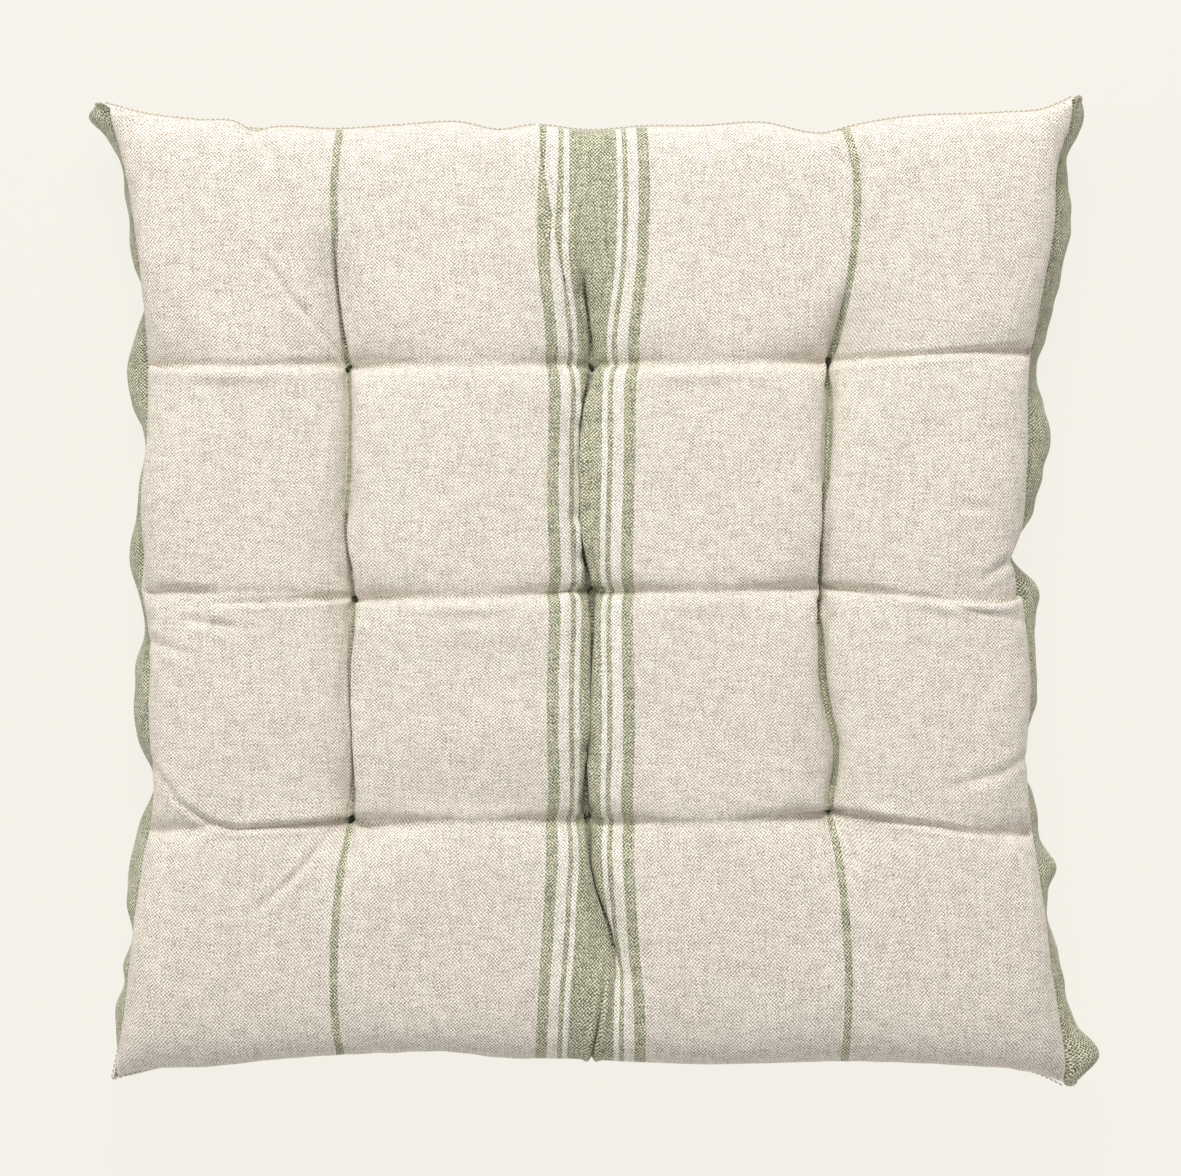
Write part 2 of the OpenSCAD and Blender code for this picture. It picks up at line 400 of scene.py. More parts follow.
def grip_ties(p, u, v, w, spec):
    """Puts the cloth at each tie in its place and stops it moving."""
    reach = max(2.2, 0.8 * (u[1] - u[0]))
    for name in TIES:
        tu, tx, ty = spec["tie"](name)
        tv = TIES[name][1]
        away = np.hypot(u[:, None] - tu, v[None] - tv)
        near = away < reach
        near.flat[away.argmin()] = True
        du, dv = (u[:, None] - tu + 0 * v[None])[near], (v[None] - tv + 0 * u[:, None])[near]
        p[near] = np.stack([tx + 0.3 * du, ty + 0.6 * dv, spec["tie_z"] + 0 * du], 1)
        w[near] = 0


def keep_inside(p, spec):
    """Keeps the cloth near the seams from bulging past the pad's outline."""
    edge, n = spec["edge"], EDGE_ROWS
    back = np.arange(n, 0, -1) * spec["slope"]
    first, last = slice(1, n + 1), slice(-n - 1, -1)
    p[:, last, 1] = np.minimum(p[:, last, 1], edge("rear", p[:, last, 0]) - back)
    p[:, first, 1] = np.maximum(p[:, first, 1], edge("front", p[:, first, 0]))
    p[first, :, 0] = np.maximum(p[first, :, 0], edge("left", p[first, :, 1]))
    p[last, :, 0] = np.minimum(p[last, :, 0], edge("right", p[last, :, 1]))


def press_down(p, u, v, w, spec):
    """Presses in every fold and row."""
    hu, hv = u[1] - u[0], v[1] - v[0]
    for (fold, tie_u), drift in zip(spec["folds"], FOLD_DRIFT):
        near = np.abs(u - tie_u) < 26
        part = p[near]
        press_fold(part, w[near] > 0, u[near], part[..., 1], fold, tie_u, drift, spec, hu)
        p[near] = part
    for path, row_v in zip(spec["rows"], (-ROW_V, 0, ROW_V)):
        near = np.abs(v - row_v) < 4
        part = p[:, near]
        press_row(part, w[:, near] > 0, v[near], part[..., 0], path, row_v, spec, hv)
        p[:, near] = part


def settle(p, u, v, spec, steps, sweeps=3):
    """Blows the cloth up until its threads are taut, held at its seams, ties and folds."""
    hu, hv = u[1] - u[0], v[1] - v[0]
    w = np.ones(p.shape[:2])
    w[[0, -1]] = 0
    w[:, [0, -1]] = 0
    grip_ties(p, u, v, w, spec)
    across, along = np.abs(u)[:, None] / HALF_U, np.abs(v)[None] / HALF_V
    cell = np.abs(np.sin(math.pi * u[:, None] / COLUMN_U))
    drawn_v = 1 - 0.022 - 0.03 * cell * (1 - across**8) + 0 * along
    gathered = spec["gather"] * (1 - along**3) - 0.03 * along**6
    drawn_u = 1 - ramp(np.abs(u)[:, None], 98, 112) * gathered
    before = p.copy()
    for _ in range(steps):
        lift = np.clip((spec["crown_z"] - p[..., 2:]) / spec["give"], -0.5, 1) * PUSH
        kept = p.copy()
        p += ((p - before) * 0.9 + normals(p) * lift) * (w > 0)[..., None]
        before = kept
        for _ in range(sweeps):
            for axis, h in ((0, hu * drawn_u), (1, hv * drawn_v)):
                for a, b in pairs(p, 1, axis):
                    pull(p, w, a, b, h[a], 0.9, 0.25)
            for a, b in diagonals(p):
                pull(p, w, a, b, math.hypot(hu, hv), 0.12, 0.12)
            for axis, h in ((0, hu), (1, hv)):
                for a, b in pairs(p, 2, axis):
                    pull(p, w, a, b, 2 * h, 0, 0.1)
        keep_inside(p, spec)
        press_down(p, u, v, w, spec)
        if "floor" in spec:
            p[..., 2] = np.minimum(p[..., 2], spec["floor"])
    return p


def first_shape(u, v, spec):
    """The cloth before it is blown up: spread between its seams and ties, with a dome on each cell."""
    uu, vv = np.meshgrid(u, v, indexing="ij")
    rear, front = spec["seam"]("rear", u), spec["seam"]("front", u)
    left, right = spec["seam"]("left", v), spec["seam"]("right", v)
    stops_v = [-HALF_V, -ROW_V, 0, ROW_V, HALF_V]
    stops_u = [-HALF_U, -COLUMN_U, 0, COLUMN_U, HALF_U]
    rows = []
    for row in ("front", "middle", "rear"):
        ys = [spec["tie"](f"{row}_{column}")[2] for column in ("left", "centre", "right")]
        rows.append(np.interp(u, stops_u[1:4], ys))
    knots = np.stack([front[:, 1], *rows, rear[:, 1]], 1)
    y = np.array([np.interp(v, stops_v, k) for k in knots])
    x = np.empty_like(y)
    for j in range(len(v)):
        mids = [smooth(fold[0], y[:, j].mean()) for fold, _ in spec["folds"]]
        x[:, j] = np.interp(u, stops_u, [left[j, 0], *mids, right[j, 0]])
    edge = 1 - np.maximum(np.abs(uu) / HALF_U, np.abs(vv) / HALF_V) ** 6
    dome = np.abs(np.sin(math.pi * np.interp(u, stops_u, range(5))))[:, None] ** 0.6
    dome = dome * np.abs(np.sin(math.pi * np.interp(v, stops_v, range(5))))[None] ** 0.6
    z = spec["tie_z"] + (16 * dome + ripple(uu, vv, 30, 5) * 0.4) * edge
    p = np.stack([x, y, z], 2)
    p[0], p[-1] = left, right
    p[:, 0], p[:, -1] = front, rear
    return p


def make_panel(spec):
    """A panel, settled on a coarse grid and then on one twice as fine."""
    nu, nv = 101, 105
    u, v = np.linspace(-HALF_U, HALF_U, nu), np.linspace(-HALF_V, HALF_V, nv)
    p = settle(first_shape(u, v, spec), u, v, spec, spec["steps"][0])
    nu, nv = 2 * nu - 1, 2 * nv - 1
    u, v = np.linspace(-HALF_U, HALF_U, nu), np.linspace(-HALF_V, HALF_V, nv)
    halves_u, halves_v = np.arange(nu) / 2, np.arange(nv) / 2
    p = resample(resample(p, halves_u, 0), halves_v, 1)
    p[0], p[-1] = spec["seam"]("left", v), spec["seam"]("right", v)
    p[:, 0], p[:, -1] = spec["seam"]("front", u), spec["seam"]("rear", u)
    return settle(p, u, v, spec, spec["steps"][1])


def crease(p, path, depth, width, normal):
    """A sharp valley with soft shoulders along a path of (x, y), which draws the cloth into it."""
    best = np.full(p.shape[:2], 1e9)
    nearest = np.zeros(p.shape[:2] + (2,))
    along = np.zeros(p.shape[:2])
    pts = np.array(path, float)
    lengths = np.hypot(*np.diff(pts, axis=0).T)
    total, run = lengths.sum(), 0.0
    for a, b, length in zip(pts[:-1], pts[1:], lengths):
        t = np.clip(((p[..., :2] - a) @ (b - a)) / length**2, 0, 1)
        on_path = a + t[..., None] * (b - a)
        d = np.linalg.norm(p[..., :2] - on_path, axis=2)
        closer = d < best
        nearest = np.where(closer[..., None], on_path, nearest)
        best = np.where(closer, d, best)
        along = np.where(closer, (run + t * length) / total, along)
        run += length
    fade = np.sin(math.pi * np.clip(along, 0.02, 0.98)) ** 0.5
    valley = np.exp(-((best / width) ** 1.5)) - 0.35 * np.exp(-(((best - 2 * width) / width) ** 2))
    pinch = 0.35 * depth * fade * np.exp(-((best / (4 * width)) ** 2))
    inward = (nearest - p[..., :2]) / np.maximum(best, 0.5 * width)[..., None]
    p[..., :2] += inward * pinch[..., None]
    p -= normal * (depth * fade * valley)[..., None]


# ---- Meshes ----


def add_mesh(name, verts, faces, rest=None, material=None, body="root"):
    """A smooth-shaded piece, from points in millimetres, with its flat-cloth coordinates."""
    mesh = bpy.data.meshes.new(name)
    faces = faces.tolist() if isinstance(faces, np.ndarray) else faces
    mesh.from_pydata((np.asarray(verts) * MM).tolist(), [], faces)
    mesh.polygons.foreach_set("use_smooth", np.ones(len(mesh.polygons), bool))
    if rest is not None:
        layer = mesh.attributes.new("rest", "FLOAT_VECTOR", "POINT")
        layer.data.foreach_set("vector", np.asarray(rest, np.float32).ravel())
    mesh.validate()
    obj = bpy.data.objects.new(name, mesh)
    bpy.context.collection.objects.link(obj)
    if material:
        mesh.materials.append(material)
    if body:
        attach(obj, body)
    return obj


def dress(obj, node):
    """Hides the CAD node that a piece takes the place of."""
    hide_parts(node)


def grid_faces(nu, nv, flip=False):
    """The quads of a grid of nu by nv points."""
    i, j = np.meshgrid(np.arange(nu - 1), np.arange(nv - 1), indexing="ij")
    a = (i * nv + j).ravel()
    quads = np.stack([a, a + nv, a + nv + 1, a + 1], 1)
    return quads[:, ::-1] if flip else quads


def tube(points, radius, sides=8):
    """A round thread along points, with closed ends, as (verts, faces)."""
    pts = np.array(points, float)
    tangent = np.gradient(pts, axis=0)
    tangent /= np.linalg.norm(tangent, axis=1, keepdims=True)
    up = np.array([0, 0, 1.0]) if abs(tangent[:, 2]).mean() < 0.8 else np.array([1.0, 0, 0])
    side = np.cross(tangent, up)
    side /= np.linalg.norm(side, axis=1, keepdims=True)
    other = np.cross(side, tangent)
    size = np.full(len(pts), radius)
    size[[0, -1]] *= 0.45
    turn = np.arange(sides) * 2 * math.pi / sides
    ring = np.cos(turn)[None, :, None] * side[:, None] + np.sin(turn)[None, :, None] * other[:, None]
    verts = (pts[:, None] + ring * size[:, None, None]).reshape(-1, 3)
    faces = []
    for i in range(len(pts) - 1):
        for j in range(sides):
            k = (j + 1) % sides
            faces.append((i * sides + j, i * sides + k, (i + 1) * sides + k, (i + 1) * sides + j))
    first = tuple(reversed(range(sides)))
    last = tuple((len(pts) - 1) * sides + j for j in range(sides))
    return verts, faces + [first, last]


def joined(parts):
    """Several (verts, faces) as one."""
    verts, faces, base = [], [], 0
    for v, f in parts:
        verts.append(v)
        faces += [tuple(int(k) + base for k in face) for face in f]
        base += len(v)
    return np.vstack(verts), faces


def stitches(path, lift, pitch=2.1, radius=0.27):
    """A row of short thread stitches along a path, standing out along lift."""
    path, lift = np.asarray(path), np.asarray(lift)
    run = np.concatenate([[0], np.cumsum(np.linalg.norm(np.diff(path, axis=0), axis=1))])
    parts = []
    for k in range(int(run[-1] / pitch)):
        s = (k + np.array([0.12, 0.3, 0.5, 0.7, 0.88])) * pitch
        pts = np.stack([np.interp(s, run, path[:, c]) for c in range(3)], 1)
        out = np.stack([np.interp(s, run, lift[:, c]) for c in range(3)], 1)
        pts += out * np.array([-0.2, 0.22, 0.34, 0.22, -0.2])[:, None]
        parts.append(tube(pts, radius, 6))
    return joined(parts)


# ---- Materials ----


class Nodes:
    """Short names for building a node material."""

    def __init__(self, name):
        self.material = bpy.data.materials.new(name)
        self.material.use_nodes = True
        self.tree = self.material.node_tree
        self.shader = self.tree.nodes["Principled BSDF"]

    def add(self, kind, **settings):
        node = self.tree.nodes.new(kind)
        for key, value in settings.items():
            setattr(node, key, value)
        return node

    def put(self, socket, value):
        if isinstance(value, bpy.types.NodeSocket):
            self.tree.links.new(value, socket)
        else:
            socket.default_value = value

    def math(self, operation, a, b=0.0, c=0.0):
        node = self.add("ShaderNodeMath", operation=operation)
        for socket, value in zip(node.inputs, (a, b, c)):
            self.put(socket, value)
        return node.outputs[0]

    def vector(self, x, y, z=0.0):
        node = self.add("ShaderNodeCombineXYZ")
        for socket, value in zip(node.inputs, (x, y, z)):
            self.put(socket, value)
        return node.outputs[0]

    def noise(self, vector, scale, detail=2.0, roughness=0.5):
        node = self.add("ShaderNodeTexNoise")
        self.put(node.inputs["Vector"], vector)
        node.inputs["Scale"].default_value = scale
        node.inputs["Detail"].default_value = detail
        node.inputs["Roughness"].default_value = roughness
        return node.outputs["Fac"]

    def scaled(self, value, from_low, from_high, to_low, to_high):
        node = self.add("ShaderNodeMapRange", clamp=True)
        for socket, number in zip(node.inputs, (value, from_low, from_high, to_low, to_high)):
            self.put(socket, number)
        return node.outputs[0]

    def mix(self, share, a, b, mode="MIX"):
        node = self.add("ShaderNodeMix", data_type="RGBA", blend_type=mode)
        self.put(node.inputs[0], share)
        self.put(node.inputs[6], a)
        self.put(node.inputs[7], b)
        return node.outputs[2]

    def bump(self, height, strength, distance):
        node = self.add("ShaderNodeBump")
        node.inputs["Strength"].default_value = strength
        node.inputs["Distance"].default_value = distance * MM
        self.put(node.inputs["Height"], height)
        self.put(self.shader.inputs["Normal"], node.outputs[0])


# Threads and weave in millimetres, and colours
THREAD_PITCH = 1.0
WEAVE_PITCH = 1.45
LINEN = (0.73, 0.683, 0.62, 1)
WHITE = (0.8, 0.765, 0.71, 1)
SAGE = (0.385, 0.39, 0.288, 1)
THREAD = (0.7, 0.63, 0.52, 1)


def band(n, u, low, high):
    """1 where low < u < high, with edges as wide as a thread."""
    rise = n.scaled(u, low - 0.15, low + 0.15, 0, 1)
    fall = n.scaled(u, high - 0.15, high + 0.15, 1, 0)
    return n.math("MULTIPLY", rise, fall)


def threads(n, across, along, offset):
    """Tone of the threads that run along an axis: each has its own, and keeps it for a while."""
    thread = n.math("FLOOR", n.math("DIVIDE", across, THREAD_PITCH))
    place = n.vector(n.math("MULTIPLY", thread, 7.3), n.math("MULTIPLY", along, 0.12), offset)
    return n.noise(place, 1.0, 2.0, 0.6)


def over_and_under(n, across, tone):
    """Waves one weave apart, knocked out of line a little by each thread."""
    shifted = n.math("MULTIPLY_ADD", n.math("SUBTRACT", tone, 0.5), 1.2, across)
    return n.math("SINE", n.math("MULTIPLY", shifted, 2 * math.pi / WEAVE_PITCH))


def woven_stripes(n, u, weft):
    """Where the white stripes are and where the sage ones are, with slightly uneven edges."""
    wide = n.math("ABSOLUTE", n.math("MULTIPLY_ADD", n.math("SUBTRACT", weft, 0.5), 0.5, u))
    outer = n.math("ABSOLUTE", n.math("SUBTRACT", wide, COLUMN_U))
    faint = n.math("MULTIPLY", band(n, wide, 14.2, 18.4), 0.7)
    whites = n.math("ADD", band(n, wide, 9.9, 12.1), faint)
    sages = n.math("ADD", band(n, wide, -1.0, 9.9), band(n, wide, 12.1, 14.2))
    sages = n.math("ADD", sages, band(n, wide, 18.4, 23.0))
    return whites, n.math("ADD", sages, band(n, outer, -1.0, 1.7))


def with_weave(n, colour, dyed, warp, weft, grain, crossing):
    """The colour with its slubs and the light and dark of its threads, stronger where it is dyed."""
    slubs = n.math("MAXIMUM", n.scaled(warp, 0.62, 0.76, 0, 1), n.scaled(weft, 0.62, 0.76, 0, 1))
    colour = n.mix(n.math("MULTIPLY", slubs, 0.2), colour, (0.6, 0.53, 0.45, 1), "MULTIPLY")
    tone = n.math("ADD", n.scaled(warp, 0.3, 0.7, 0, 0.5), n.scaled(weft, 0.3, 0.7, 0, 0.5))
    fine = n.math("MULTIPLY", n.scaled(grain, 0.4, 0.6, 0, 1), 0.42)
    tone = n.math("ADD", n.math("MULTIPLY", tone, 0.38), fine)
    speck = n.math("ADD", tone, n.math("MULTIPLY_ADD", crossing, 0.4, 0.1))
    weave = n.mix(speck, (0.34, 0.3, 0.26, 1), (1.66, 1.68, 1.68, 1))
    colour = n.mix(1.0, colour, weave, "MULTIPLY")
    contrast = n.mix(n.scaled(speck, 0.25, 0.75, 0, 1), (0.5, 0.53, 0.5, 1), (1.5, 1.47, 1.52, 1))
    return n.mix(dyed, colour, n.mix(1.0, colour, contrast, "MULTIPLY"))


def flecks(n, u, v):
    """Where the yarn has a dark fleck of husk."""
    spots = n.add("ShaderNodeTexVoronoi", feature="F1")
    n.put(spots.inputs["Vector"], n.vector(n.math("MULTIPLY", u, 0.07), n.math("MULTIPLY", v, 0.1)))
    spots.inputs["Scale"].default_value = 1.0
    return n.scaled(spots.outputs["Distance"], 0.035, 0.02, 0, 0.75)


def cloth_material(name, striped, base):
    """Plain-woven cloth with slubs and flecks, and woven stripes where striped."""
    n = Nodes(name)
    rest = n.add("ShaderNodeAttribute", attribute_name="rest")
    split = n.add("ShaderNodeSeparateXYZ")
    n.put(split.inputs[0], rest.outputs["Vector"])
    u, v = split.outputs[0], split.outputs[1]
    warp, weft = threads(n, u, v, 0.0), threads(n, v, u, 9.0)
    crossing = n.math("MULTIPLY", over_and_under(n, u, weft), over_and_under(n, v, warp))
    grain = n.noise(n.vector(n.math("MULTIPLY", u, 1.8), n.math("MULTIPLY", v, 1.8), 4.0), 1.0, 1.0, 0.6)
    cloudy = n.noise(n.vector(n.math("MULTIPLY", u, 0.05), n.math("MULTIPLY", v, 0.05), 2.0), 1.0, 3.0, 0.5)

    colour, dyed = base, 1.0
    if striped:
        whites, dyed = woven_stripes(n, u, weft)
        colour = n.mix(dyed, n.mix(whites, colour, WHITE), SAGE)
    colour = with_weave(n, colour, dyed, warp, weft, grain, crossing)
    colour = n.mix(n.scaled(cloudy, 0.4, 0.65, 0, 0.15), colour, (0.96, 0.93, 0.9, 1), "MULTIPLY")
    if striped:
        # Painted highlight: the last few millimetres of the side edges, where the cloth turns into its
        # seam, are coloured paler.
        rim = n.scaled(n.math("ABSOLUTE", u), HALF_U - 4.5, HALF_U - 3.5, 0, 0.75)
        colour = n.mix(rim, colour, (0.86, 0.83, 0.77, 1))
    colour = n.mix(flecks(n, u, v), colour, (0.2, 0.13, 0.07, 1))
    n.put(n.shader.inputs["Base Color"], colour)

    n.bump(n.math("ADD", n.math("MULTIPLY", crossing, 0.25), n.math("ADD", warp, weft)), 0.5, 0.25)
    n.put(n.shader.inputs["Roughness"], n.scaled(grain, 0.3, 0.7, 0.82, 0.98))
    n.shader.inputs["Specular IOR Level"].default_value = 0.2
    n.shader.inputs["Sheen Weight"].default_value = 0.12
    n.shader.inputs["Sheen Roughness"].default_value = 0.5
    return n.material


def thread_material(name, light, dark, pitch):
    """Twisted thread: fine slanted strands, with a painted highlight on the top of each strand and painted
    shade between them.
    """
    n = Nodes(name)
    place = n.add("ShaderNodeTexCoord").outputs["Object"]
    wave = n.add("ShaderNodeTexWave", bands_direction="DIAGONAL")
    n.put(wave.inputs["Vector"], place)
    wave.inputs["Scale"].default_value = 1 / pitch
    wave.inputs["Distortion"].default_value = 1.5
    fuzz = n.noise(place, 900, 3.0)
    # Painted highlight and shade: the colour follows the same waves as the bump, paler on the raised
    # strands and darker in the hollows between them.
    n.put(n.shader.inputs["Base Color"], n.mix(n.math("MULTIPLY", wave.outputs["Fac"], fuzz), dark, light))
    n.bump(wave.outputs["Fac"], 0.5, 0.1)
    n.put(n.shader.inputs["Roughness"], n.scaled(fuzz, 0.3, 0.7, 0.65, 0.9))
    return n.material


def wadding_material():
    """Loose white fibre."""
    n = Nodes("wadding_fibre")
    place = n.add("ShaderNodeTexCoord").outputs["Object"]
    tufts = n.noise(place, 120, 6.0, 0.7)
    fibres = n.noise(place, 1500, 4.0, 0.8)
    n.put(n.shader.inputs["Base Color"], n.mix(tufts, (0.72, 0.71, 0.67, 1), (0.9, 0.89, 0.86, 1)))
    n.bump(n.math("ADD", tufts, n.math("MULTIPLY", fibres, 0.3)), 0.8, 1)
    n.put(n.shader.inputs["Roughness"], n.scaled(fibres, 0.3, 0.7, 0.9, 1.0))
    n.shader.inputs["Sheen Weight"].default_value = 0.4
    return n.material


linen = cloth_material("striped_linen", True, LINEN)
sage = cloth_material("sage_cloth", False, SAGE)
seam_thread = thread_material("seam_thread", THREAD, (0.45, 0.38, 0.28, 1), 0.6 * MM)
twine = thread_material("tie_twine", (0.075, 0.075, 0.04, 1), (0.012, 0.013, 0.01, 1), 0.8 * MM)
fibre = wadding_material()

# ---- Top panel ----


def top_tie(name):
    """The u of a tie on the flat top panel, and its x and y on the pad."""
    tu, _, tx, ty = TIES[name]
    return tu, tx, ty


# How a panel is held. crown_z: where the push of the wadding ends, after falling off over give.
# gap: how far a fold's walls stay from its line. fold_rise, row_rise: how far the bottom of a fold
# or a row rises between ties. slope: how far each row of points steps back from the rear edge.
# gather: how much shorter the cloth is drawn towards the side seams. steps: on each of two grids.
top_spec = {
    "seam": top_seam,
    "tie": top_tie,
    "tie_z": TOP_TIE_Z,
    "crown_z": PAD_H + 1,
    "give": 12,
    "gap": 0.2,
    "fold_rise": 5.0,
    "row_rise": 15.0,
    "edge": top_edge,
    "slope": 0.25,
    "gather": 0.1,
    "folds": [(FOLDS[column], FOLD_U[column]) for column in ("left", "centre", "right")],
    "rows": ROWS,
    "steps": (220, 70),
}
top = make_panel(top_spec)

# Points of a finished panel, across and along
FINE = (314, 316)
rest_u = finer(HALF_U, FINE[0], (-COLUMN_U, -18, -2, COLUMN_U))
rest_v = finer(HALF_V, FINE[1], (-ROW_V, 0, ROW_V))


def on_fine_grid(grid):
    """A settled panel at the places rest_u and rest_v."""
    across = (rest_u / HALF_U + 1) / 2 * (grid.shape[0] - 1)
    along = (rest_v / HALF_V + 1) / 2 * (grid.shape[1] - 1)
    return resample(resample(grid, across, 0), along, 1)


rest_grid = np.stack([*np.meshgrid(rest_u, rest_v, indexing="ij"), np.zeros(FINE)], 2)
flat_u, flat_v = rest_grid[..., 0], rest_grid[..., 1]
fine_top = on_fine_grid(top)
top_normals = normals(fine_top)
for path, _, closed in FOLDS.values():
    for low, high, deep in closed:
        y = np.linspace(low, high, 24)
        crease(fine_top, np.stack([smooth(path, y), y], 1), 1.6 + deep / 2, 0.9, top_normals)
for depth, width, path in CREASES:
    crease(fine_top, path, depth, width, top_normals)
away = 1 - np.maximum(np.abs(flat_u) / HALF_U, np.abs(flat_v) / HALF_V) ** 20
waves = 0.12 * ripple(flat_u, flat_v, 11, 3) + 0.25 * ripple(flat_u, flat_v, 38, 4)
fine_top += top_normals * (waves * away)[..., None]


def tuck(grid, rest, sign):
    """Turns the rim of a panel down into its seam."""
    for axis, half in ((0, HALF_U), (1, HALF_V)):
        gap = half - np.abs(rest[..., axis])
        turned = np.exp(-((gap / 1.6) ** 2))
        grid[..., 2] -= sign * 2.0 * turned
        grid[..., axis] -= np.sign(rest[..., axis]) * 1.1 * turned


tuck(fine_top, rest_grid, 1)
top_faces = grid_faces(*FINE)
top_cloth = add_mesh("top_cloth", fine_top.reshape(-1, 3), top_faces, rest_grid.reshape(-1, 3), linen)
dress(top_cloth, "top_panel")

# ---- Bottom panel ----

LOW_TIE_X = {"left": -98, "centre": 0, "right": 98}
LOW_TIE_Y = {"front": -93, "middle": 0, "rear": 93}


def flipped_low_seam(side, flat):
    """The bottom seam of the pad lying upside down, as its bottom panel is blown up."""
    p = low_seam(side, flat)
    p[:, 2] = PAD_H - p[:, 2]
    return p


def low_tie(name):
    """The u of a tie on the flat bottom panel, and its x and y on the pad."""
    row, column = name.split("_")
    return TIES[name][0], LOW_TIE_X[column], LOW_TIE_Y[row]


STRAIGHT = [[(-190, c * 1.055), (-92, c), (0, c), (92, c), (190, c * 1.055)] for c in LOW_TIE_X.values()]
low_spec = {
    "seam": flipped_low_seam,
    "tie": low_tie,
    "tie_z": PAD_H - LOW_TIE_Z,
    "crown_z": PAD_H + 8,
    "give": 20,
    "gap": 0.3,
    "fold_rise": 6.0,
    "row_rise": 11.0,
    "edge": low_edge,
    "slope": 0,
    "gather": 0.16,
    "folds": [((path, (-110, 110), []), u) for path, u in zip(STRAIGHT, (-COLUMN_U, 0, COLUMN_U))],
    "rows": [[(-180, y), (180, y)] for y in LOW_TIE_Y.values()],
    "steps": (160, 40),
    "floor": PAD_H,
}
bottom = make_panel(low_spec)
bottom[..., 2] = PAD_H - bottom[..., 2]
fine_low = on_fine_grid(bottom)
tuck(fine_low, rest_grid, -1)
low_faces = grid_faces(*FINE, True)
low_cloth = add_mesh("bottom_cloth", fine_low.reshape(-1, 3), low_faces, rest_grid.reshape(-1, 3), linen)
dress(low_cloth, "bottom_panel")

# ---- Side strips ----


def edge_of(grid, side):
    """The points of a panel's grid along one side."""
    return {"left": grid[0], "right": grid[-1], "front": grid[:, 0], "rear": grid[:, -1]}[side]


def standing_out(side, high, low):
    """How far a side strip stands out past the line between its seams, along its length."""
    if side in ("left", "right"):
        reach = smooth(LEFT_BELLY if side == "left" else RIGHT_BELLY, high[:, 1])
        out = outward(side) * (reach - (high[:, 0] + low[:, 0]) / 2)
    else:
        out = 1.0 + 0.6 * ripple(rest_u, 0 * rest_u, 30, 8)
    return np.maximum(out, 0.5)


edges = {side: (edge_of(fine_top, side), edge_of(fine_low, side)) for side in SIDES}
bellies = {side: standing_out(side, *pair) for side, pair in edges.items()}

# Where the strips lie on the flat cloth, clear of the panels
STRIP_V = 260


def side_strip(side, material, rows=26):
    """A side strip from the top seam to the bottom one, bellied out, that meets its neighbours."""
    flat = rest_v if side in ("left", "right") else rest_u
    high, low = edges[side]
    t = np.linspace(0, 1, rows)[None, :]
    p = high[:, None] * (1 - t[..., None]) + low[:, None] * t[..., None]
    axis = 0 if side in ("left", "right") else 1
    bulge = np.sin(math.pi * t) ** 0.8
    lip = 1.3 * (1 - np.exp(-40 * t)) * (1 - t) * (t < 1)
    from_end = np.abs(flat[0]) - np.abs(flat)
    folds = 0.35 * ripple(flat[:, None], 30 * t, 14, 13 + axis + outward(side)) * bulge
    folds *= ramp(from_end, 0, 12)[:, None]
    p[..., axis] += outward(side) * (bellies[side][:, None] * bulge + lip + folds)
    for end, neighbour in zip((0, -1), ("front", "rear") if axis == 0 else ("left", "right")):
        own_end = 0 if side in ("left", "front") else -1
        drawn = bellies[neighbour][own_end] * bulge + lip
        fade = np.exp(-(((flat - flat[end]) / 5) ** 2))[:, None]
        p[..., 1 - axis] += outward(neighbour) * drawn * fade
    flat_t = STRIP_V + 34 * t
    rest = np.stack([flat[:, None] + 0 * t, flat_t + 0 * flat[:, None], 0 * flat[:, None] * t], 2)
    faces = grid_faces(len(flat), rows, side in ("left", "rear"))
    obj = add_mesh(f"{side}_side_cloth", p.reshape(-1, 3), faces, rest.reshape(-1, 3), material)
    dress(obj, f"{side}_side_strip")
    return p


strips = {side: side_strip(side, sage if side in ("left", "right") else linen) for side in SIDES}

# ---- Seam stitching ----


def seam_ring(seam, lift_z, shift):
    """Stitches all round one seam."""
    parts = []
    for side in SIDES:
        half = HALF_V if side in ("left", "right") else HALF_U
        path = seam(side, np.linspace(-half, half, 420))
        out = np.zeros_like(path)
        axis = 0 if side in ("left", "right") else 1
        out[:, axis] = outward(side)
        path = path + out * shift
        path[:, 2] += lift_z
        parts.append(stitches(path, out))
    return joined(parts)


for name, seam, lift_z in (("top_seam", top_seam, -0.4), ("bottom_seam", low_seam, 0.4)):
    verts, faces = seam_ring(seam, lift_z, 0.3)
    ring = add_mesh(f"{name}_stitches", verts, faces, material=seam_thread)
    dress(ring, f"{name}_thread")

for depth in ("front", "rear"):
    for side in ("left", "right"):
        edge = strips[side][0 if depth == "front" else -1]
        out = np.zeros_like(edge)
        out[:, 0] = 0.7 * outward(side)
        out[:, 1] = 0.7 * outward(depth)
        verts, faces = stitches(edge + out * 0.3, out)
        seam = add_mesh(f"corner_stitches_{depth}_{side}", verts, faces, material=seam_thread)
        dress(seam, f"corner_seam_{depth}_{side}")

# ---- Ties ----

# Which way each tie's stitch lies, in degrees, in the order of TIES
TIE_ANGLES = (35, 120, 60, 140, 50, 110, 80, 30, 130)


